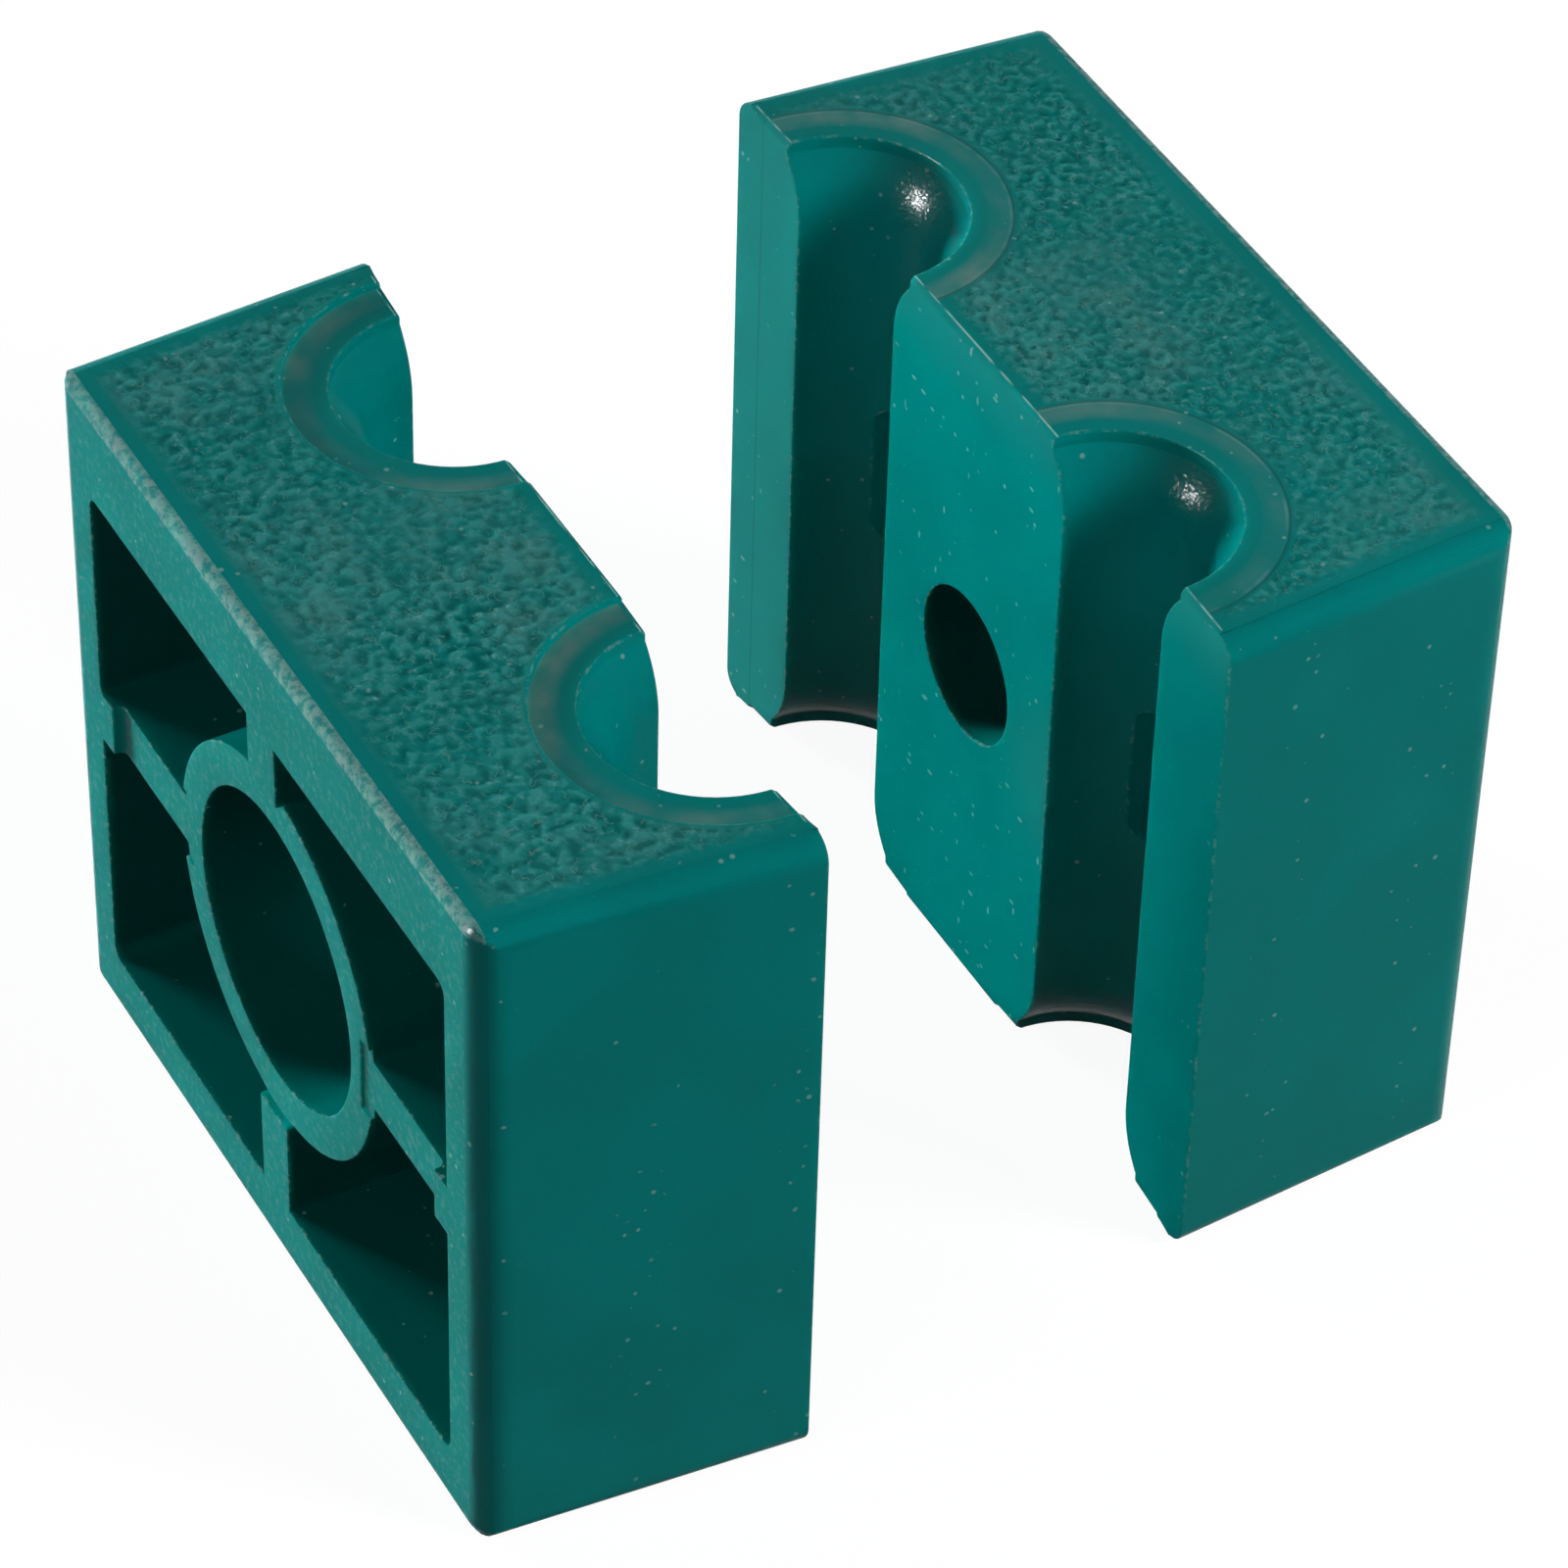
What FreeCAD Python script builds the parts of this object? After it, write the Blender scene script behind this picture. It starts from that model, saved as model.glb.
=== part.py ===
import FreeCAD, Part
import math
import os

# A clamp for two hydraulic tubes: two like moulded halves, apart, stood on their long sides with
# their joint faces towards each other. The left half is the right one turned over about X. Sizes
# are in millimetres and degrees. X runs across both tubes, Y from one half to the other, and Z,
# along the tubes, is up. The origin is on the ground, under the middle of the pair.

# How the two halves stand
joint_face_gap = 17.3
stagger = 2.5

# Outer form of one half
width = 30.0
length = 36.6
depth = 12.85
end_draft = 4.25
side_corner_radius = 1.0
back_corner_radius = 1.3

# Tube channels
tube_diameter = 8.0
pinch = 0.8
tube_pitch = 20.0
shoulder_length = 2.7
shoulder_nose = 1.55
mouth_radius = 4.65
mouth_depth = 0.5
ring_radius = 6.4
deep_ring_depth = 0.3
faint_ring_depth = 0.06

# Blind pocket in the deepest wall of each channel
pocket_width = 4.4
pocket_height = 6.4
pocket_depth = 1.0
pocket_drop = 0.3
pocket_corner_radius = 0.8

# Bolt hole, and the wide bore that opens on the rib face
bolt_diameter = 6.0
bolt_clearance = 0.4
bolt_web = 4.0
bore_diameter = 12.6

# Hollow back: rim, boss and crossed ribs
cavity_depth = 6.6
rim_end = 2.7
rim_top = 2.7
rim_bottom = 4.3
cavity_corner_radius = 0.5
mould_draft = 1.0
boss_wall = 1.75
boss_sink = 0.3
upright_rib = 2.3
long_rib = 2.35
long_rib_sink = 0.45
tab_length = 1.0
tab_radius = 0.3

# What follows from the sizes above
reach = 1.0
middle = width / 2
channel_radius = (tube_diameter - pinch) / 2
bolt_hole_radius = (bolt_diameter + bolt_clearance) / 2
bore_radius = bore_diameter / 2
boss_radius = bore_radius + boss_wall
floor_y = depth - cavity_depth
back_length = length - 2 * depth * math.tan(math.radians(end_draft))
spread = cavity_depth * math.tan(math.radians(mould_draft))
along_y = FreeCAD.Vector(0, 1, 0)


def at(x, y, z):
    return FreeCAD.Vector(x, y, z)


def closed_face(points):
    """A flat face with straight sides through the points."""
    return Part.Face(Part.makePolygon(points + [points[0]]))


def edges_along(shape, axis, where):
    """The straight edges of the shape that run along an axis and whose middle satisfies where."""
    found = []
    for edge in shape.Edges:
        run = edge.Vertexes[-1].Point - edge.Vertexes[0].Point
        if run.Length < 1e-6:
            continue
        if abs(run.normalize().dot(axis)) > 0.99 and where(edge.CenterOfMass):
            found.append(edge)
    return found


def rounded(solid, groups):
    """The solid with each group of its edges rounded by the group's own radius, in one step."""
    document = FreeCAD.newDocument()
    sharp = document.addObject("Part::Feature", "Sharp")
    sharp.Shape = solid
    soft = document.addObject("Part::Fillet", "Soft")
    soft.Base = sharp
    chosen = []
    for number, edge in enumerate(solid.Edges, 1):
        for group, radius in groups:
            if any(edge.isSame(other) for other in group):
                chosen.append((number, radius, radius))
    soft.Edges = chosen
    document.recompute()
    return soft.Shape.copy()


# The block that everything is cut from

def block():
    """A block whose end faces lean in towards the rib face, with its moulded roundings."""
    plan = closed_face([
        at(-length / 2, 0, 0),
        at(length / 2, 0, 0),
        at(back_length / 2, depth, 0),
        at(-back_length / 2, depth, 0),
    ])
    solid = plan.extrude(at(0, 0, width))

    upright = edges_along(solid, at(0, 0, 1), lambda p: p.y > depth / 2)
    slanted = edges_along(solid, along_y, lambda p: True)
    return rounded(solid, [(upright, back_corner_radius), (slanted, side_corner_radius)])


# Tube channels

def channel_tool():
    """The round tool of one channel, about the Z axis: bore, rounded shoulders, mouths and rings."""
    outside_z = middle + reach

    edges = []
    bore_ends = []
    for side, ring_depth in ((-1, deep_ring_depth), (1, faint_ring_depth)):
        ring_z = middle - ring_depth
        mouth_z = ring_z - mouth_depth
        shoulder_z = mouth_z - shoulder_length
        bore_ends.append(at(channel_radius, 0, side * shoulder_z))
        shoulder = Part.BezierCurve()
        shoulder.setPoles([
            at(channel_radius, 0, side * shoulder_z),
            at(channel_radius, 0, side * (shoulder_z + shoulder_nose)),
            at(mouth_radius, 0, side * mouth_z),
        ])
        edges.append(shoulder.toShape())
        edges += Part.makePolygon([
            at(mouth_radius, 0, side * mouth_z),
            at(mouth_radius, 0, side * ring_z),
            at(ring_radius, 0, side * ring_z),
            at(ring_radius, 0, side * outside_z),
            at(0, 0, side * outside_z),
        ]).Edges
    edges.append(Part.makeLine(*bore_ends))
    edges.append(Part.makeLine(at(0, 0, -outside_z), at(0, 0, outside_z)))
    profile = Part.Face(Part.Wire(Part.__sortEdges__(edges)))
    return profile.revolve(at(0, 0, 0), at(0, 0, 1), 360)


def pocket_tool():
    """The blind pocket behind a channel, with rounded corners."""
    solid = Part.makeBox(
        pocket_width,
        channel_radius + pocket_depth,
        pocket_height,
        at(-pocket_width / 2, 0, -pocket_height / 2 - pocket_drop),
    )
    return solid.makeFillet(pocket_corner_radius, edges_along(solid, along_y, lambda p: True))


# Hollow back

def rounded_rectangle(half_x, low_z, high_z, y):
    """A closed wire in the plane at y, with rounded corners."""
    r = cavity_corner_radius
    corners = [
        (half_x - r, high_z - r),
        (-half_x + r, high_z - r),
        (-half_x + r, low_z + r),
        (half_x - r, low_z + r),
    ]
    arcs = []
    for number, (x, z) in enumerate(corners):
        points = []
        for quarters in (number, number + 0.5, number + 1):
            turned = quarters * math.pi / 2
            points.append(at(x + r * math.cos(turned), y, z + r * math.sin(turned)))
        arcs.append(Part.Arc(*points).toShape())
    edges = []
    for number, arc in enumerate(arcs):
        following = arcs[(number + 1) % len(arcs)]
        edges.append(arc)
        edges.append(Part.makeLine(arc.lastVertex(True).Point, following.firstVertex(True).Point))
    return Part.Wire(edges)


def rib_section(half_thickness, across):
    """The drafted section of a rib, from the cavity floor to the rim, thicker at the floor."""
    top = depth + reach
    wide = half_thickness + spread
    narrow = half_thickness - reach * math.tan(math.radians(mould_draft))
    return closed_face([
        across * wide + at(0, floor_y - reach, 0),
        across * narrow + at(0, top, 0),
        across * -narrow + at(0, top, 0),
        across * -wide + at(0, floor_y - reach, 0),
    ])


def cavity_tool():
    """The four hollows between the rim, the boss and the two ribs."""
    half_x = back_length / 2 - rim_end
    top = rounded_rectangle(half_x, rim_bottom, width - rim_top, depth)
    bottom = rounded_rectangle(
        half_x - spread,
        rim_bottom + spread,
        width - rim_top - spread,
        floor_y,
    )
    hollow = Part.makeLoft([bottom, top], True, True)
    boss = Part.makeCylinder(
        boss_radius,
        cavity_depth + 2 * reach,
        at(0, floor_y - reach, middle),
        along_y,
    )
    upright = rib_section(upright_rib / 2, at(1, 0, 0)).extrude(at(0, 0, width))
    lying = rib_section(long_rib / 2, at(0, 0, 1)).extrude(at(length, 0, 0))
    lying.translate(at(-length / 2, 0, middle))
    return hollow.cut([boss, upright, lying])


def long_rib_step(side):
    """What is taken off the long rib between the boss and the tab at an end wall."""
    inner = boss_radius - boss_wall / 2
    outer = back_length / 2 - rim_end - tab_length
    low = depth - long_rib_sink
    solid = Part.makeBox(
        outer - inner,
        long_rib_sink + reach,
        long_rib + reach,
        at(inner, low, middle - (long_rib + reach) / 2),
    )
    foot = edges_along(
        solid,
        at(0, 0, 1),
        lambda p: p.x > outer - 0.01 and p.y < low + 0.01,
    )
    solid = solid.makeFillet(tab_radius, foot)
    if side < 0:
        solid = solid.mirror(at(0, 0, 0), at(1, 0, 0))
    return solid


# One half, with its joint face in the plane Y = 0

def clamp_half():
    half = block()
    tools = [cavity_tool()]
    for side in (-1, 1):
        channel_place = at(side * tube_pitch / 2, 0, middle)
        for tool in (channel_tool(), pocket_tool()):
            tool.translate(channel_place)
            tools.append(tool)
        tools.append(long_rib_step(side))
    tools.append(Part.makeCylinder(
        boss_radius,
        boss_sink + reach,
        at(0, depth - boss_sink, middle),
        along_y,
    ))
    tools.append(Part.makeCylinder(
        bore_radius,
        depth + reach - bolt_web,
        at(0, bolt_web, middle),
        along_y,
    ))
    tools.append(Part.makeCylinder(
        bolt_hole_radius,
        bolt_web + 2 * reach,
        at(0, -reach, middle),
        along_y,
    ))
    for tool in tools:
        half = half.cut(tool)
    return half.removeSplitter()


# The pair

def write(node, shape):
    shape.exportStep("parts/" + node + ".step")
    print(node, shape.isValid(), len(shape.Solids), round(shape.Volume, 1), shape.BoundBox)


os.makedirs("parts", exist_ok=True)
for node, side in (("right_clamp_half", 1), ("left_clamp_half", -1)):
    half = clamp_half()
    if side < 0:
        half.rotate(at(0, 0, middle), at(1, 0, 0), 180)
    half.translate(at(-side * stagger / 2, side * joint_face_gap / 2, 0))
    write(node, half)
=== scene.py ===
import math

import bmesh
import bpy
import numpy as np
from mathutils import Matrix, Vector, noise
from mathutils.geometry import delaunay_2d_cdt


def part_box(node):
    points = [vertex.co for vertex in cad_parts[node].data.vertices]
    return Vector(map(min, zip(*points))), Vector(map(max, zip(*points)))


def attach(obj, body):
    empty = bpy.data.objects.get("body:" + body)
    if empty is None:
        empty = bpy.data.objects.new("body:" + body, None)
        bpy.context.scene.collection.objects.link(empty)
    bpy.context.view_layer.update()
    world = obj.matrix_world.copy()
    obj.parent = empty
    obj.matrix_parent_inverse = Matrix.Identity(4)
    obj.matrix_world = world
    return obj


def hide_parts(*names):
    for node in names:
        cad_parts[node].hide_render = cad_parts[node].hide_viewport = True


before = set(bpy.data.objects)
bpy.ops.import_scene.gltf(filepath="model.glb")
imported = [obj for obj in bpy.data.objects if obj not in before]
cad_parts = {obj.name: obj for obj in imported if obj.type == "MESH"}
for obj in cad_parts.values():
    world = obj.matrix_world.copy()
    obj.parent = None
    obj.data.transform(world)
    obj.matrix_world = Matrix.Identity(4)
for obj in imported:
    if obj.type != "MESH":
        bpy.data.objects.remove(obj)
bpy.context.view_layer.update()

# A clamp for two hydraulic tubes: two like halves moulded in green plastic, on a white ground.
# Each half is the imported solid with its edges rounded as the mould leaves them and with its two
# side faces, top and bottom as it stands, given their eroded grain as real relief. Everything is
# in metres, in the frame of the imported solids.
MM = 0.001

# How near counts as touching, and how straight up counts as flat
TOUCHING = 1e-6
ON_PLANE = 1e-7
FLAT_COSINE = 0.999
FAR_AWAY = 1.0

# The halves: node, direction in which the joint face looks, along Y
HALVES = (("left_clamp_half", 1), ("right_clamp_half", -1))
TUBE_PITCH = 20.0 * MM
MOUTH_RADIUS = 4.65 * MM
RING_RADIUS = 6.4 * MM
RING_DEPTH = 0.3 * MM
FAINT_RING_DEPTH = 0.06 * MM
JOINT_BOW = 0.32 * MM
RIB_STEP = 0.6 * MM
CHANNEL_MARGIN = 0.1 * MM

# The hollow back, whose faces get a painted shade: how far inside the half a face of it lies
HOLLOW_FROM_SIDE = 2.5 * MM
HOLLOW_FROM_FACE = 0.5 * MM
HOLLOW_HALF_LENGTH = 15 * MM

# Edges
FLAT_ANGLE = math.radians(0.3)
SLIVER_RISE = 0.005 * MM
SHARP_ANGLE = math.radians(35)
SMOOTH_ANGLE = math.radians(32)
BACK_EDGE_RADIUS = 0.45 * MM
BACK_EDGE_STEPS = 4
EDGE_RADIUS = 0.09 * MM
CHAMFER = 0.2 * MM
CHAMFER_LINE = 0.035 * MM
CHAMFER_BEND = math.radians(20)

# Flat faces that get a fine mesh: the side faces and the rings, told apart by their area
RING_AREA = 20 * MM * MM
SIDE_AREA = 100 * MM * MM
RING_SPACING = 0.16 * MM
BORDER_SPACING = 0.25 * MM
CDT_INSIDE = 1
CDT_TOLERANCE = 1e-6
FINE_WEIGHT = 1e-4

# Grain of the side faces
GRAIN_SPACING = 0.10 * MM
GRAIN_MARGIN = 0.07 * MM
GRAIN_HEIGHT = 0.15 * MM
GRAIN_CELL = 0.36 * MM
GRAIN_BORDER = 0.2 * MM
GRAIN_FADE = 1.1 * MM
GRAIN_BACK_MARGIN = 0.7 * MM
GRAIN_BACK_FADE = 2.0 * MM
GRAIN_PATCH = 7.0 * MM
GRAIN_LOWEST = -1.0
GRAIN_HIGHEST = 0.6
# Where a side face's painted grey sheen fades in from its outer edges
SHEEN_ZONE_START = 0.3 * MM
SHEEN_ZONE_FULL = 1.3 * MM
HALF_SEED = 31.7
SIDE_SEED = 7.3
NOISE_SEED = 1

# What the material reads from the mesh
FACE_MARKS = (
    "edge", "line", "joint", "rim", "back", "channel", "inside", "side", "ring", "groove",
)
VERT_MARKS = ("grain", "peak", "sheen_zone", "radius")

# Camera
LOOK_AT = Vector((1.6, -0.4, 15.0)) * MM
CAMERA_DISTANCE = 258.8 * MM
CAMERA_AZIMUTH = math.radians(60.54)
CAMERA_ELEVATION = math.radians(41.82)
CAMERA_ROLL = math.radians(1.71)
CAMERA_LENS = 159.1
CAMERA_SENSOR = 36
CAMERA_NEAR = 0.01
CAMERA_FAR = 20


# Shapes

def step(low, high, value):
    """0 below low, 1 above high, and a smooth rise between them."""
    share = min(1.0, max(0.0, (value - low) / (high - low)))
    return share * share * (3 - 2 * share)


def welded(node, levels, faint_z, side_z):
    """The node's solid as a clean mesh, with its faint rings brought level with the side face."""
    bm = bmesh.new()
    bm.from_mesh(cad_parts[node].data)
    bmesh.ops.remove_doubles(bm, verts=bm.verts, dist=TOUCHING)
    bmesh.ops.dissolve_limit(bm, angle_limit=FLAT_ANGLE, verts=bm.verts, edges=bm.edges)
    bm.normal_update()
    for level in levels:
        almost = [
            f for f in bm.faces
            if abs(f.normal.z) > FLAT_COSINE
            and abs(f.calc_center_median().z - level) < SLIVER_RISE
        ]
        for vert in {v for f in almost for v in f.verts}:
            vert.co.z = level
        bmesh.ops.dissolve_faces(bm, faces=almost)
    for vert in bm.verts:
        if abs(vert.co.z - faint_z) < TOUCHING:
            vert.co.z = side_z
    bmesh.ops.remove_doubles(bm, verts=bm.verts, dist=TOUCHING)
    return bm


def cut_near(bm, point, normal, is_near):
    """Cuts the faces that have a vertex in a region along a plane, leaving the surface as it is."""
    faces = {f for v in bm.verts if is_near(v.co) for f in v.link_faces}
    edges = {e for f in faces for e in f.edges}
    verts = {v for f in faces for v in f.verts}
    bmesh.ops.bisect_plane(
        bm, geom=list(verts) + list(edges) + list(faces), dist=ON_PLANE,
        plane_co=point, plane_no=normal,
    )


def round_back_edge(bm, back_y, outward_y, side_z, outward_z):
    """Rounds one long edge of the rib face: its square section is pressed onto an arc."""
    centre_y = back_y - outward_y * BACK_EDGE_RADIUS
    centre_z = side_z - outward_z * BACK_EDGE_RADIUS

    def offset(p):
        return (p.y - centre_y) * outward_y, (p.z - centre_z) * outward_z

    def is_near(p):
        return min(offset(p)) > -ON_PLANE

    for number in range(BACK_EDGE_STEPS):
        out = BACK_EDGE_RADIUS * math.tan(math.pi / 4 * number / BACK_EDGE_STEPS)
        cut_near(bm, (0, centre_y + outward_y * out, 0), (0, 1, 0), is_near)
        cut_near(bm, (0, 0, centre_z + outward_z * out), (0, 0, 1), is_near)
    for vert in bm.verts:
        if is_near(vert.co):
            a, b = offset(vert.co)
            if max(a, b) > ON_PLANE:
                shrink = max(a, b) / math.hypot(a, b)
                vert.co.y = centre_y + outward_y * a * shrink
                vert.co.z = centre_z + outward_z * b * shrink
    return [f for f in bm.faces if is_near(f.calc_center_median())]


def bevel(bm, edges, offset, segments):
    return bmesh.ops.bevel(
        bm, geom=edges, offset=offset, offset_type="OFFSET", segments=segments,
        profile=0.5, affect="EDGES", clamp_overlap=False,
    )["faces"]


def chamfer_joint_edges(bm, joint_y, levels):
    """Chamfers the joint face's long edges; returns the fine line at each chamfer's outer side."""
    long_edges = []
    for edge in bm.edges:
        a, b = (v.co for v in edge.verts)
        on_joint = abs(a.y - joint_y) < TOUCHING and abs(b.y - joint_y) < TOUCHING
        level = any(abs(a.z - z) < TOUCHING and abs(b.z - z) < TOUCHING for z in levels)
        if on_joint and level and edge.calc_face_angle(0) > SHARP_ANGLE:
            long_edges.append(edge)
    strips = bevel(bm, long_edges, CHAMFER, 1)
    bm.normal_update()
    borders = {e for f in strips for e in f.edges if e.calc_face_angle(0) > CHAMFER_BEND}
    ends = [e for e in borders if abs((e.verts[0].co - e.verts[1].co).x) < 2 * CHAMFER]
    lines = bevel(bm, list(borders.difference(ends)), CHAMFER_LINE, 1)
    return [f for f in lines if abs(f.calc_center_median().y - joint_y) > CHAMFER / 2]


def round_sharp_edges(bm):
    """Rounds every sharp outer edge that is left by the mould's own small radius."""
    sharp = []
    for edge in bm.edges:
        if edge.is_manifold and edge.calc_face_angle_signed() > SHARP_ANGLE:
            sharp.append(edge)
    return bevel(bm, sharp, EDGE_RADIUS, 2)


def interior_points(outline, on_ring, spacing):
    """Points of an even grid inside an outline, with their distance to it and past its rings."""
    corners = np.array(outline)
    low, high = corners.min(0), corners.max(0)
    rows = np.arange(low[1], high[1], spacing * math.sqrt(3) / 2)
    points = []
    for number, row in enumerate(rows):
        shift = spacing / 2 if number % 2 else 0
        places = np.arange(low[0] + shift, high[0], spacing)
        points.append(np.stack([places, np.full_like(places, row)], 1))
    points = np.concatenate(points)

    following = np.roll(corners, -1, 0)
    inside = np.zeros(len(points), bool)
    clear = np.full(len(points), FAR_AWAY)
    margin = np.full(len(points), FAR_AWAY)
    for start, end, is_ring in zip(corners, following, on_ring):
        along = end - start
        offset = points - start
        share = np.clip((offset @ along) / (along @ along), 0, 1)
        away = np.hypot(*(offset - share[:, None] * along).T)
        clear = np.minimum(clear, away)
        if not is_ring:
            margin = np.minimum(margin, away)
        crosses = (start[1] > points[:, 1]) != (end[1] > points[:, 1])
        rise = end[1] - start[1]
        if abs(rise) > 0:
            reach = start[0] + (points[:, 1] - start[1]) * along[0] / rise
            inside ^= crosses & (points[:, 0] < reach)
    keep = inside & (clear > GRAIN_MARGIN)
    return points[keep], clear[keep], margin[keep]


def ring_distance(x, y, centres, joint_y):
    """How far a point is from the nearer channel's axis."""
    return min(math.hypot(x - c, y - joint_y) for c in centres)


def split_border(face):
    """Divides the long edges of a face, so that a fine mesh can join them evenly."""
    for edge in list(face.edges):
        start = edge.verts[0]
        for left in range(math.ceil(edge.calc_length() / BORDER_SPACING), 1, -1):
            _, start = bmesh.utils.edge_split(edge, start, 1 / left)


def fill_flat(bm, face, spacing, centres, joint_y, surface=None):
    """Puts a fine mesh in place of a flat face; surface gives each inner point its relief."""
    outward = 1 if face.normal.z > 0 else -1
    split_border(face)
    loop = list(face.verts)
    flat_z = loop[0].co.z
    grain_layer = bm.verts.layers.float["grain"]
    sheen_zone_layer = bm.verts.layers.float["sheen_zone"]
    peak_layer = bm.verts.layers.float["peak"]
    outline = [(v.co.x, v.co.y) for v in loop]
    at_ring = [abs(ring_distance(*p, centres, joint_y) - RING_RADIUS) < CHAMFER for p in outline]
    on_ring = [here and at_ring[(n + 1) % len(loop)] for n, here in enumerate(at_ring)]
    inner, clear, margin = interior_points(outline, on_ring, spacing)
    scale = 1 / MM
    places = [Vector(p) * scale for p in outline + inner.tolist()]
    border = [(n, (n + 1) % len(loop)) for n in range(len(loop))]
    flat_places, _, triangles, origins, _, _ = delaunay_2d_cdt(
        places, border, [], CDT_INSIDE, CDT_TOLERANCE,
    )
    corners = []
    for place, origin in zip(flat_places, origins):
        known = origin[0] if origin else None
        if known is not None and known < len(loop):
            corners.append(loop[known])
            continue
        x, y = place.x / scale, place.y / scale
        vert = bm.verts.new((x, y, flat_z))
        if surface and known is not None:
            number = known - len(loop)
            lift, peak, grain, sheen_zone = surface(x, y, clear[number], margin[number])
            vert.co.z += outward * lift
            vert[peak_layer] = peak
            vert[grain_layer] = grain
            vert[sheen_zone_layer] = sheen_zone
        corners.append(vert)
    bm.faces.remove(face)
    made = []
    for triangle in triangles:
        chosen = [corners[n] for n in triangle]
        if outward < 0:
            chosen.reverse()
        made.append(bm.faces.new(chosen))
    return made


def side_surface(back_y, seed):
    """The eroded grain of a side face: even in its middle, fading out towards its outer edges."""
    def surface(x, y, space, margin):
        strength = step(GRAIN_MARGIN, GRAIN_BORDER, space) * step(GRAIN_MARGIN, GRAIN_FADE, margin)
        strength *= step(GRAIN_BACK_MARGIN, GRAIN_BACK_FADE, abs(y - back_y))
        patchy = 0.80 + 0.45 * noise.noise(Vector((x / GRAIN_PATCH, y / GRAIN_PATCH, seed)))
        at = Vector((x / GRAIN_CELL, y / GRAIN_CELL, seed))
        bend = noise.noise_vector(at * 0.5) * 0.45
        height = noise.noise(at + bend) + 0.45 * noise.noise(at * 2.1 + bend)
        height = max(GRAIN_LOWEST, min(GRAIN_HIGHEST, height * 1.3)) - GRAIN_HIGHEST
        peak = 1.0 + height / (GRAIN_HIGHEST - GRAIN_LOWEST)
        # Painted sheen: away from the outer edges the material paints a grey sheen here
        sheen_zone = step(SHEEN_ZONE_START, SHEEN_ZONE_FULL, margin)
        grain = strength * patchy
        return GRAIN_HEIGHT * 0.5 * grain * height, peak, grain, sheen_zone
    return surface


def bow(bm, joint_y, back_y, centre_x, half_length):
    """Draws the joint face in a little at the middle of its length, as cooling leaves it."""
    way = 1 if joint_y > back_y else -1
    for vert in bm.verts:
        share = (vert.co.y - back_y) / (joint_y - back_y)
        along = (vert.co.x - centre_x) / half_length
        vert.co.y -= way * JOINT_BOW * share * max(0.0, 1 - along * along)


def even_normals(bm, mesh):
    """Corner normals that follow the large flats, so that the small roundings blend into them."""
    side = bm.faces.layers.float["side"]
    ring = bm.faces.layers.float["ring"]
    fine = {f for f in bm.faces if f[side] > 0 or f[ring] > 0}
    normals = []
    nearly = math.cos(SMOOTH_ANGLE)
    for face in bm.faces:
        for vert in face.verts:
            around = vert.link_faces
            if face in fine and all(f in fine for f in around):
                normals.append((0, 0, 0))
                continue
            total = Vector()
            for other in around:
                if other.normal.dot(face.normal) > nearly:
                    weight = FINE_WEIGHT if other in fine else other.calc_area()
                    total += other.normal * weight
            normals.append(total.normalized())
    mesh.normals_split_custom_set(normals)


def mark(bm, name, faces):
    """A face attribute that the material reads."""
    layer = bm.faces.layers.float[name]
    for face in faces:
        if face.is_valid:
            face[layer] = 1.0


def is_hollow(point, centre_x, joint_y, back_y, low_z, high_z):
    """True inside the hollow back, the wide bore and the bolt hole."""
    if abs(point.x - centre_x) >= HOLLOW_HALF_LENGTH:
        return False
    from_side = min(point.z - low_z, high_z - point.z)
    from_face = min(abs(point.y - joint_y), abs(point.y - back_y))
    return from_side > HOLLOW_FROM_SIDE and from_face > HOLLOW_FROM_FACE


def mark_faces(bm, facing, centres, centre_x, joint_y, back_y, low_z, high_z):
    """Marks the joint face, the rib face, the channels and the hollow back, whose faces get a
    painted shade.
    """
    for face in bm.faces:
        middle = face.calc_center_median()
        if face.normal.y * facing > FLAT_COSINE and abs(middle.y - joint_y) < TOUCHING:
            mark(bm, "joint", [face])
        if face.normal.y * facing < -FLAT_COSINE and abs(middle.y - back_y) < RIB_STEP:
            mark(bm, "rim", [face])
        elif ring_distance(middle.x, middle.y, centres, joint_y) < MOUTH_RADIUS + CHANNEL_MARGIN:
            mark(bm, "channel", [face])
        elif is_hollow(middle, centre_x, joint_y, back_y, low_z, high_z):
            mark(bm, "inside", [face])


def refine_flats(bm, levels, flush_z, back_y, joint_y, centres, seed):
    """Gives the side faces their grain, and the rings a fine mesh for their painted sheen."""
    jobs = []
    for face in bm.faces:
        if abs(face.normal.z) < FLAT_COSINE or face.calc_area() < RING_AREA:
            continue
        if min(abs(face.verts[0].co.z - z) for z in levels) > TOUCHING:
            continue
        jobs.append((face, face.calc_area() > SIDE_AREA))
    for face, is_side in jobs:
        if is_side:
            way = 1 if face.normal.z > 0 else -1
            grain = side_surface(back_y, seed + SIDE_SEED * way)
            mark(bm, "side", fill_flat(bm, face, GRAIN_SPACING, centres, joint_y, grain))
            continue
        is_faint = abs(face.verts[0].co.z - flush_z) < TOUCHING
        filled = fill_flat(bm, face, RING_SPACING, centres, joint_y)
        mark(bm, "ring", filled)
        if is_faint:
            mark(bm, "groove", filled)


def object_from(bm, name):
    """The finished mesh as an object of the scene."""
    mesh = bpy.data.meshes.new(name)
    bm.to_mesh(mesh)
    mesh.polygons.foreach_set("use_smooth", [True] * len(mesh.polygons))
    mesh.set_sharp_from_angle(angle=SMOOTH_ANGLE)
    even_normals(bm, mesh)
    bm.free()
    piece = bpy.data.objects.new(name, mesh)
    bpy.context.scene.collection.objects.link(piece)
    return piece


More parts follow.
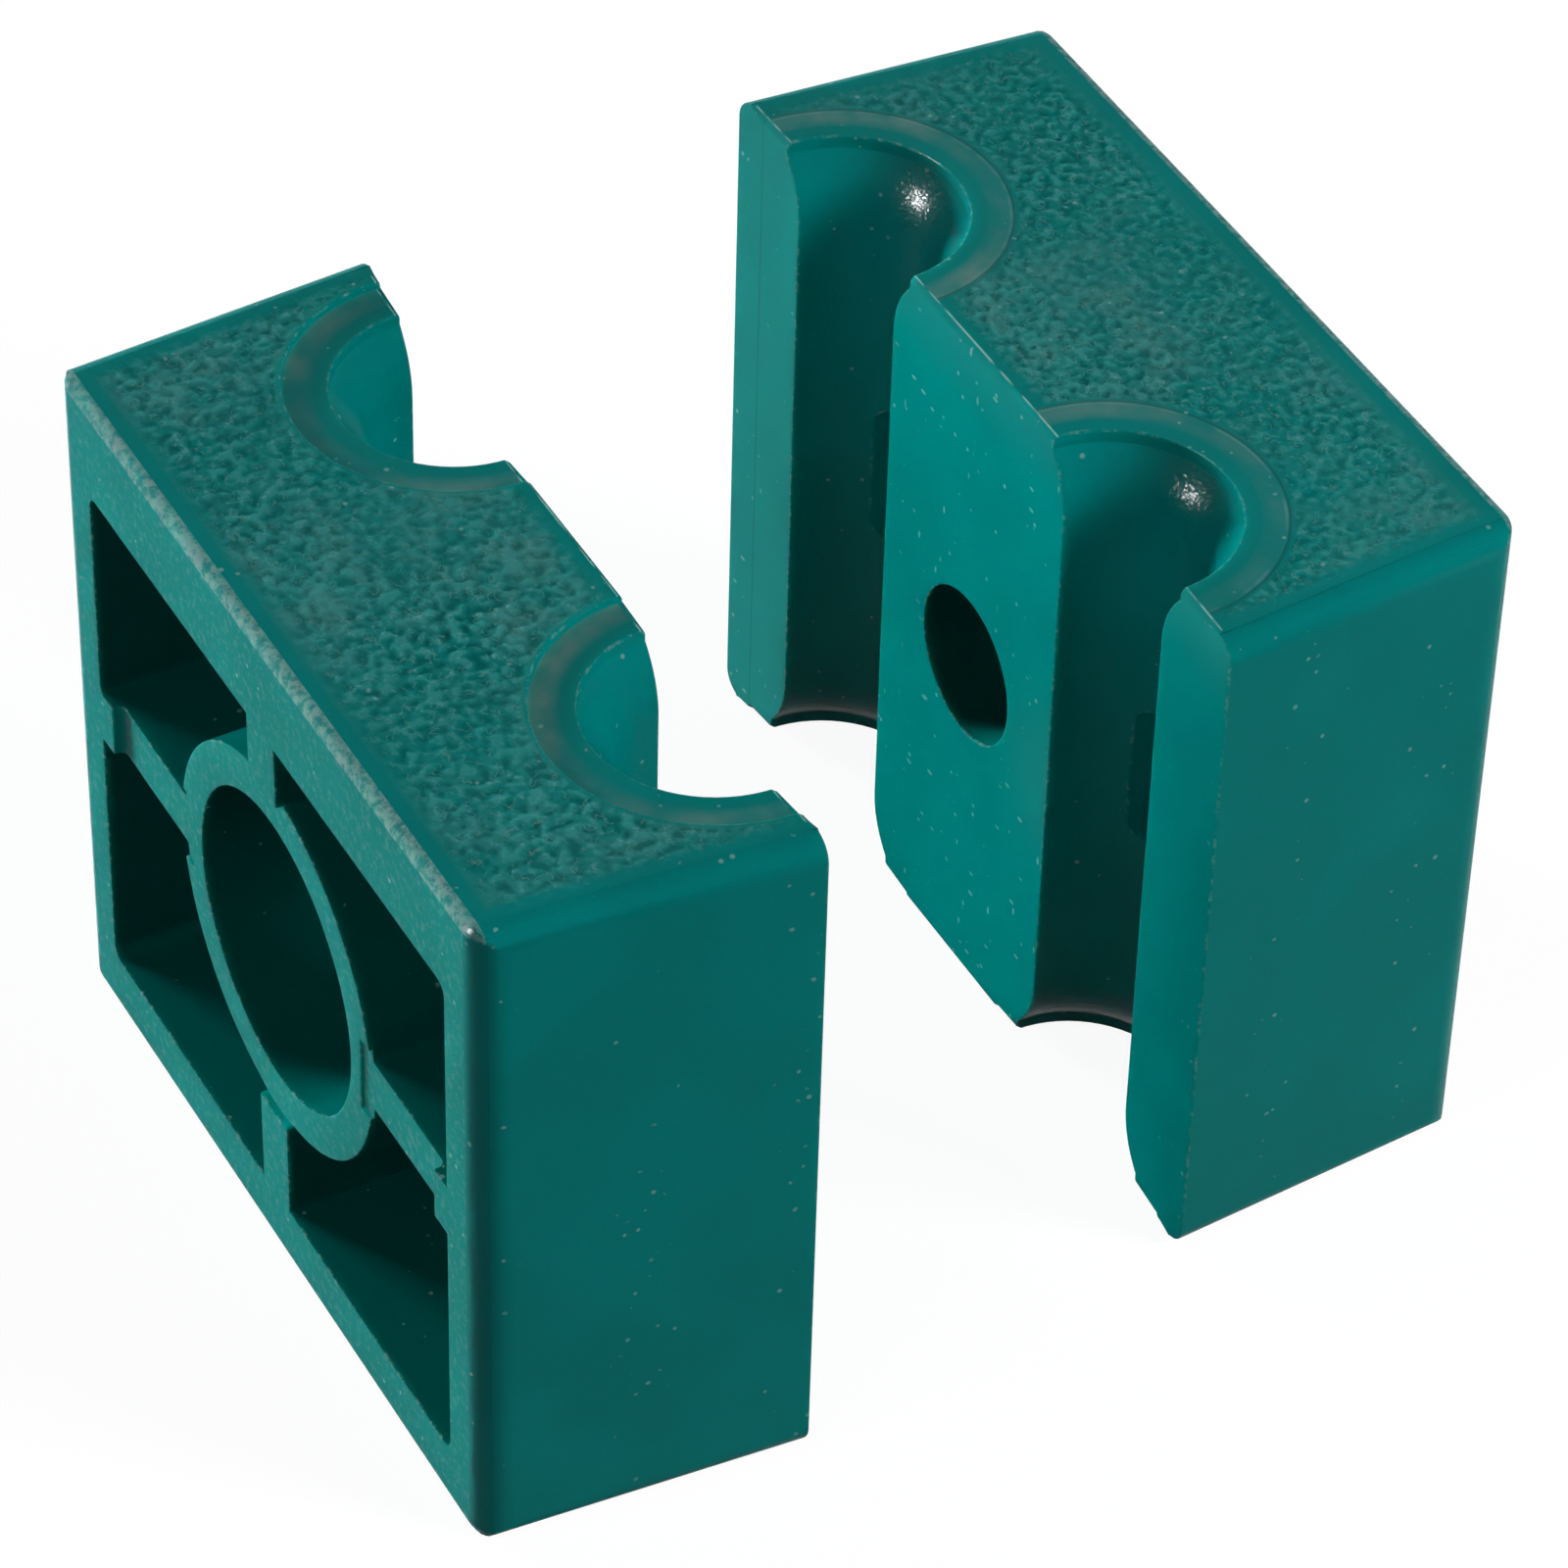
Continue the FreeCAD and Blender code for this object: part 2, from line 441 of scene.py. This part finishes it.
def half_object(node, facing, seed):
    """One half, from its solid; facing is the way its joint face looks along Y."""
    low, high = (Vector(c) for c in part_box(node))
    back_y, joint_y = (low.y, high.y) if facing > 0 else (high.y, low.y)
    centre_x = (low.x + high.x) / 2
    centres = (centre_x - TUBE_PITCH / 2, centre_x + TUBE_PITCH / 2)
    deep_z, flush_z = (high.z, low.z) if facing > 0 else (low.z, high.z)
    upward = 1 if flush_z > deep_z else -1
    ring_z = deep_z + upward * RING_DEPTH
    bm = welded(node, (low.z, high.z), flush_z - upward * FAINT_RING_DEPTH, flush_z)
    for name in FACE_MARKS:
        bm.faces.layers.float.new(name)
    for name in VERT_MARKS:
        bm.verts.layers.float.new(name)

    bm.normal_update()
    mark_faces(bm, facing, centres, centre_x, joint_y, back_y, low.z, high.z)
    for side_z, outward_z in ((low.z, -1), (high.z, 1)):
        mark(bm, "back", round_back_edge(bm, back_y, -facing, side_z, outward_z))
    bm.normal_update()
    mark(bm, "line", chamfer_joint_edges(bm, joint_y, (low.z, high.z, ring_z)))
    bm.normal_update()
    mark(bm, "edge", round_sharp_edges(bm))
    bm.normal_update()
    refine_flats(bm, (low.z, high.z, ring_z), flush_z, back_y, joint_y, centres, seed)
    radius_layer = bm.verts.layers.float["radius"]
    for vert in bm.verts:
        vert[radius_layer] = ring_distance(vert.co.x, vert.co.y, centres, joint_y) / MM
    bow(bm, joint_y, back_y, centre_x, (high.x - low.x) / 2)
    bm.normal_update()
    return object_from(bm, node.replace("clamp_half", "half_moulding"))


# Material

class Shader:
    """Makes and joins the nodes of one material, or of the world."""

    def __init__(self, owner):
        owner.use_nodes = True
        self.nodes = owner.node_tree.nodes
        self.links = owner.node_tree.links

    def set(self, node, inputs):
        for key, value in inputs.items():
            socket = node.inputs[key]
            if isinstance(value, bpy.types.NodeSocket):
                self.links.new(value, socket)
            else:
                socket.default_value = value

    def node(self, kind, inputs, **settings):
        made = self.nodes.new("ShaderNode" + kind)
        for key, value in settings.items():
            setattr(made, key, value)
        self.set(made, inputs)
        return made

    def math(self, operation, a, b=0.0, clamp=False):
        made = self.node("Math", {0: a, 1: b}, operation=operation, use_clamp=clamp)
        return made.outputs[0]

    def times(self, a, b):
        return self.math("MULTIPLY", a, b)

    def larger(self, a, b):
        return self.math("MAXIMUM", a, b)

    def from_value(self, value, centre):
        """How far a value is from another, either way."""
        return self.math("ABSOLUTE", self.math("SUBTRACT", value, centre))

    def ramp(self, value, low, high, start=0.0, end=1.0):
        """The value taken from low..high to start..end, smoothly, and held there."""
        made = self.node(
            "MapRange",
            {"Value": value, "From Min": low, "From Max": high, "To Min": start, "To Max": end},
            interpolation_type="SMOOTHSTEP",
        )
        return made.outputs[0]

    def blend(self, share, first, second):
        made = self.node("Mix", {0: share}, data_type="RGBA")
        self.set(made, {6: first, 7: second})
        return made.outputs[2]

    def mask(self, name):
        return self.node("Attribute", {}, attribute_name=name).outputs["Fac"]

    def stretched(self, cells, turn=(0, 0, 0)):
        """Object coordinates turned and scaled, with so many cells per millimetre each way."""
        place = self.nodes.get("place") or self.node("TexCoord", {}, name="place")
        mapping = self.node("Mapping", {"Vector": place.outputs["Object"], "Rotation": turn})
        mapping.inputs["Scale"].default_value = [c / MM for c in cells]
        return mapping.outputs[0]

    def noise(self, cells, detail, roughness=0.5):
        """Even noise, with so many cells per millimetre."""
        at = self.stretched((cells, cells, cells))
        made = self.node(
            "TexNoise", {"Vector": at, "Scale": 1.0, "Detail": detail, "Roughness": roughness},
        )
        return made.outputs["Fac"]

    def specks(self, at, rarity, size):
        """Scattered marks: one in some cells, no two alike in size; size is in cells."""
        cells = self.node("TexVoronoi", {"Vector": at, "Scale": 1.0, "Randomness": 1.0})
        parts = self.node("SeparateColor", {"Color": cells.outputs["Color"]})
        chosen = self.math("GREATER_THAN", parts.outputs[0], rarity)
        reach = self.ramp(parts.outputs[1], 0.0, 1.0, size * 0.35, size)
        depth = self.math("SUBTRACT", reach, cells.outputs["Distance"])
        soft = self.ramp(depth, 0.0, size * 0.35)
        return self.times(chosen, soft)


# Colours of the plastic, and of the shade, sheen and highlights painted on it
GREEN = (0.0, 0.215, 0.205, 1)
LIGHTER_GREEN = (0.0, 0.237, 0.228, 1)
# Painted shade: a darker green for the faces deep in the hollow back, the wide bore and the bolt
# hole
PAINTED_HOLLOW_SHADE = (0.0, 0.120, 0.108, 1)
# Painted sheen: the grey reflection laid on the rings and the grained faces
PAINTED_SHEEN_GREY = (0.13, 0.285, 0.262, 1)
# Painted shade in the grain's pits, painted light on its tops and painted glints on its crests
PAINTED_PIT_SHADE = (0.0, 0.115, 0.107, 1)
PAINTED_TOP_LIGHT = (0.07, 0.42, 0.40, 1)
PAINTED_CREST_GLINT = (0.26, 0.48, 0.45, 1)
# Painted shade in the rings' fine groove, and a painted highlight on its lip
PAINTED_GROOVE_SHADE = (0.0, 0.095, 0.090, 1)
PAINTED_LIP_HIGHLIGHT = (0.14, 0.36, 0.34, 1)
SPECK_PALE = (0.33, 0.56, 0.54, 1)
# Whitish wear, and a painted highlight on the small edges and the rounded back edges
WEAR_AND_HIGHLIGHT_PALE = (0.29, 0.47, 0.45, 1)
# Painted highlight along the fine line at each chamfer's outer side
PAINTED_LINE_HIGHLIGHT = (0.38, 0.66, 0.64, 1)
WITNESS_GREEN = (0.0, 0.13, 0.125, 1)

# Where the rings' painted grey sheen and groove lie, in millimetres from the channel's axis, and
# the witness line, in millimetres along X
RING_SHEEN_START, RING_SHEEN_FULL = 5.15, 5.85
GROOVE_RADIUS = 6.34
LIP_RADIUS = 6.20
WITNESS_X = -17.65


def painted_sheen(s, colour, sheen_cloud, broad_patch):
    """Painted grey sheen, a reflection, on the rings and the grained faces, weaker on the faces."""
    on_ring = s.times(s.mask("ring"), s.ramp(s.mask("radius"), RING_SHEEN_START, RING_SHEEN_FULL))
    sheen_zone = s.larger(s.mask("sheen_zone"), on_ring)
    # Painted sheen: grey is mixed in where the sheen zone lies
    sheen = s.times(sheen_zone, s.ramp(sheen_cloud, 0.3, 0.75, 0.25, 1.0))
    sheen = s.times(sheen, s.ramp(broad_patch, 0.38, 0.62, 0.35, 1.1))
    sheen = s.times(sheen, s.ramp(s.mask("side"), 0.0, 1.0, 0.95, 0.36))
    return s.blend(sheen, colour, PAINTED_SHEEN_GREY), sheen_zone


def grained(s, colour, grain):
    """Painted shade in the pits, painted light on the tops, and painted glints on short curled
    crests.
    """
    # Painted glints along short curled crests of the grain
    crest = s.ramp(s.from_value(s.noise(2.9, 1.0), 0.5), 0.0, 0.05, 1.0, 0.0)
    crest = s.times(crest, s.ramp(s.noise(2.1, 1.0), 0.47, 0.62))
    crest = s.times(crest, grain)
    peak = s.mask("peak")
    pit = s.times(s.ramp(peak, 0.25, 0.62, 1.0, 0.0), grain)
    top = s.times(s.ramp(peak, 0.66, 0.98), grain)
    # Painted shade in the pits and painted light on the tops of the relief
    colour = s.blend(s.times(pit, 0.62), colour, PAINTED_PIT_SHADE)
    colour = s.blend(s.times(top, 0.40), colour, PAINTED_TOP_LIGHT)
    return s.blend(s.times(crest, 0.32), colour, PAINTED_CREST_GLINT)


def grooved(s, colour, sheen_cloud):
    """The faint rings end at a fine groove, with painted shade in the groove and a painted
    highlight on its lip.
    """
    radius, ring = s.mask("radius"), s.mask("groove")
    groove = s.times(s.ramp(s.from_value(radius, GROOVE_RADIUS), 0.02, 0.09, 1.0, 0.0), ring)
    lip = s.times(s.ramp(s.from_value(radius, LIP_RADIUS), 0.02, 0.08, 1.0, 0.0), ring)
    lip = s.times(lip, s.ramp(sheen_cloud, 0.4, 0.6))
    # Painted shade in the groove, then a painted highlight on the lip
    colour = s.blend(s.times(groove, 0.55), colour, PAINTED_GROOVE_SHADE)
    return s.blend(s.times(lip, 0.5), colour, PAINTED_LIP_HIGHLIGHT), groove


def specked(s, colour, joint, cloud, broad_patch):
    """Pale specks, small ones everywhere and streaks on the joint faces."""
    small = s.specks(s.stretched((2.2, 2.2, 2.2)), 0.84, 0.28)
    lying = s.specks(s.stretched((1.1, 2.2, 2.5), (0, -0.40, 0)), 0.88, 0.27)
    steep = s.specks(s.stretched((2.6, 2.2, 1.0), (0, 0.30, 0)), 0.90, 0.27)
    dots = s.times(small, s.ramp(s.noise(2.5, 0.0), 0.40, 0.62))
    steep = s.times(steep, s.ramp(broad_patch, 0.44, 0.58))
    streaks = s.larger(s.times(lying, s.ramp(cloud, 0.40, 0.60)), steep)
    marks = s.larger(s.times(streaks, joint), dots)
    return s.blend(s.times(marks, 0.45), colour, SPECK_PALE)


def worn_and_highlit(s, colour, rim):
    """Whitish wear on the rib face; wear and painted highlights on the edges and the rounded back
    edges; and a painted highlight line along the chamfers.
    """
    cloud = s.noise(2.6, 3.0, 0.7)
    # The rib face gets wear; the small edges get partly wear, partly a painted highlight
    share = s.larger(s.times(rim, 0.16), s.times(s.mask("edge"), 0.40))
    share = s.times(share, s.ramp(cloud, 0.47, 0.75))
    # The rounded back edges: partly wear, partly a painted highlight
    rubbed_and_highlit = s.times(s.mask("back"), s.ramp(cloud, 0.36, 0.62, 0.08, 0.62))
    colour = s.blend(s.larger(share, rubbed_and_highlit), colour, WEAR_AND_HIGHLIGHT_PALE)
    # Painted highlight: a broken pale line along the chamfers
    line = s.times(s.mask("line"), s.ramp(s.noise(0.9, 1.0), 0.42, 0.58))
    return s.blend(s.times(line, 0.7), colour, PAINTED_LINE_HIGHLIGHT)


def witnessed(s, colour, joint):
    """A faint upright witness line on the far joint face."""
    place = s.node("SeparateXYZ", {"Vector": s.stretched((1.0, 1.0, 1.0))})
    line = s.ramp(s.from_value(place.outputs[0], WITNESS_X), 0.02, 0.10, 1.0, 0.0)
    return s.blend(s.times(s.times(line, joint), 0.45), colour, WITNESS_GREEN)


def plastic():
    """Deep green plastic, a little uneven, that lets light in a short way."""
    material = bpy.data.materials.new("green_plastic")
    s = Shader(material)
    joint, rim, grain = s.mask("joint"), s.mask("rim"), s.mask("grain")
    cloud = s.noise(0.16, 1.0)
    sheen_cloud = s.noise(0.5, 2.0, 0.6)
    broad_patch = s.noise(0.11, 1.0)

    colour = s.blend(s.ramp(cloud, 0.35, 0.65), GREEN, LIGHTER_GREEN)
    # Painted shade: the faces marked inside, in the hollows, are darkened
    colour = s.blend(s.mask("inside"), colour, PAINTED_HOLLOW_SHADE)
    colour, sheen_zone = painted_sheen(s, colour, sheen_cloud, broad_patch)
    colour = grained(s, colour, grain)
    colour, groove = grooved(s, colour, sheen_cloud)
    colour = specked(s, colour, joint, cloud, broad_patch)
    colour = worn_and_highlit(s, colour, rim)
    colour = witnessed(s, colour, joint)

    rough = s.larger(s.ramp(grain, 0.0, 1.0, 0.12, 1.0), s.mask("channel"))
    height = s.times(s.noise(4.5, 1.0, 0.6), s.times(rough, 1.3))
    height = s.math("SUBTRACT", height, s.times(groove, 1.5))
    bump = s.node("Bump", {"Height": height, "Strength": 1.0, "Distance": 0.02 * MM})
    dull = s.larger(s.larger(joint, rim), sheen_zone)
    surface = s.nodes["Principled BSDF"]
    surface.subsurface_method = "BURLEY"
    s.set(surface, {
        "Base Color": colour,
        "Roughness": s.ramp(dull, 0.0, 1.0, 0.22, 0.90),
        "Normal": bump.outputs[0],
        "Specular IOR Level": 0.02,
        "Subsurface Weight": 1.0,
        "Subsurface Radius": (0.15, 1.0, 0.75),
        "Subsurface Scale": 0.45 * MM,
    })
    return material


# Stage, lights and camera

FLOOR_HALF = 3.0
FLOOR_GLOW = 0.93
FLOOR_SEEN = (0.13, 0.13, 0.13, 1)
FLOOR_GREY = (0.10, 0.10, 0.10, 1)
SKY_SEEN, SKY_LIGHT = 1.0, 0.03


def white_sight(shader):
    """1 for the rays that see the white ground itself: straight, reflected or refracted."""
    path = shader.node("LightPath", {})
    straight = path.outputs["Is Camera Ray"]
    mirrored = path.outputs["Is Glossy Ray"]
    through = path.outputs["Is Transmission Ray"]
    return shader.math("ADD", shader.math("ADD", straight, mirrored), through, clamp=True)


def stage():
    """A plain white ground that keeps the halves' shadow."""
    mesh = bpy.data.meshes.new("floor")
    ways = ((-1, -1), (1, -1), (1, 1), (-1, 1))
    mesh.from_pydata([(x * FLOOR_HALF, y * FLOOR_HALF, 0) for x, y in ways], [], [(0, 1, 2, 3)])
    floor = bpy.data.objects.new("floor", mesh)
    bpy.context.scene.collection.objects.link(floor)
    material = bpy.data.materials.new("white_ground")
    s = Shader(material)
    s.nodes.remove(s.nodes["Principled BSDF"])
    seen_glow = s.node("Emission", {"Strength": FLOOR_GLOW})
    seen_shade = s.node("BsdfDiffuse", {"Color": FLOOR_SEEN})
    seen = s.node("AddShader", {0: seen_glow.outputs[0], 1: seen_shade.outputs[0]})
    ground = s.node("BsdfDiffuse", {"Color": FLOOR_GREY})
    both = s.node("MixShader", {0: white_sight(s), 1: ground.outputs[0], 2: seen.outputs[0]})
    s.links.new(both.outputs[0], s.nodes["Material Output"].inputs["Surface"])
    mesh.materials.append(material)


def lamp(name, azimuth, elevation, distance, size, power, diffuse=True, gloss=True):
    """A square lamp that looks at the middle of the pair; angles in degrees, sizes in metres."""
    data = bpy.data.lights.new(name, "AREA")
    data.shape = "SQUARE"
    data.size = size
    data.energy = power
    lamp_object = bpy.data.objects.new(name, data)
    bpy.context.scene.collection.objects.link(lamp_object)
    turn, tilt = math.radians(azimuth), math.radians(elevation)
    direction = Vector((
        math.cos(turn) * math.cos(tilt),
        math.sin(turn) * math.cos(tilt),
        math.sin(tilt),
    ))
    lamp_object.visible_diffuse = diffuse
    lamp_object.visible_glossy = gloss
    lamp_object.location = LOOK_AT + direction * distance
    lamp_object.rotation_mode = "QUATERNION"
    lamp_object.rotation_quaternion = (-direction).to_track_quat("-Z", "Y")


def lights():
    """Three soft lamps, one that only makes the shoulders shine, and a white world."""
    lamp("left_softbox", -155, 5, 0.6, 0.16, 6.5, gloss=False)
    lamp("right_softbox", 42, 30, 0.35, 0.13, 0.85, gloss=False)
    lamp("front_softbox", -75, 30, 0.8, 0.5, 1.2, gloss=False)
    lamp("left_gloss", -106, 1, 0.6, 0.15, 80.0, diffuse=False)
    world = bpy.data.worlds.new("studio")
    bpy.context.scene.world = world
    s = Shader(world)
    background = s.nodes["Background"]
    background.inputs["Color"].default_value = (1, 1, 1, 1)
    strength = s.ramp(white_sight(s), 0.0, 1.0, SKY_LIGHT, SKY_SEEN)
    s.links.new(strength, background.inputs["Strength"])


def camera():
    """The photograph's view."""
    data = bpy.data.cameras.new("camera")
    data.lens = CAMERA_LENS
    data.sensor_width = CAMERA_SENSOR
    data.clip_start = CAMERA_NEAR
    data.clip_end = CAMERA_FAR
    view = bpy.data.objects.new("camera", data)
    bpy.context.scene.collection.objects.link(view)
    turn, tilt = CAMERA_AZIMUTH, CAMERA_ELEVATION
    back = Vector((
        math.sin(turn) * math.cos(tilt),
        -math.cos(turn) * math.cos(tilt),
        math.sin(tilt),
    ))
    level = Vector((math.cos(turn), math.sin(turn), 0))
    upward = back.cross(level)
    right = level * math.cos(CAMERA_ROLL) + upward * math.sin(CAMERA_ROLL)
    up = back.cross(right)
    turned = Matrix((right, up, back)).transposed().to_4x4()
    view.matrix_world = Matrix.Translation(LOOK_AT + back * CAMERA_DISTANCE) @ turned
    bpy.context.scene.camera = view


# The bend of the grain depends on this seed, and without it on the clock
noise.seed_set(NOISE_SEED)

camera()
lights()
stage()
green = plastic()
for number, (node, facing) in enumerate(HALVES):
    piece = half_object(node, facing, number * HALF_SEED)
    piece.data.materials.append(green)
    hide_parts(node)
    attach(piece, "root")

bpy.context.scene.view_settings.view_transform = "Standard"
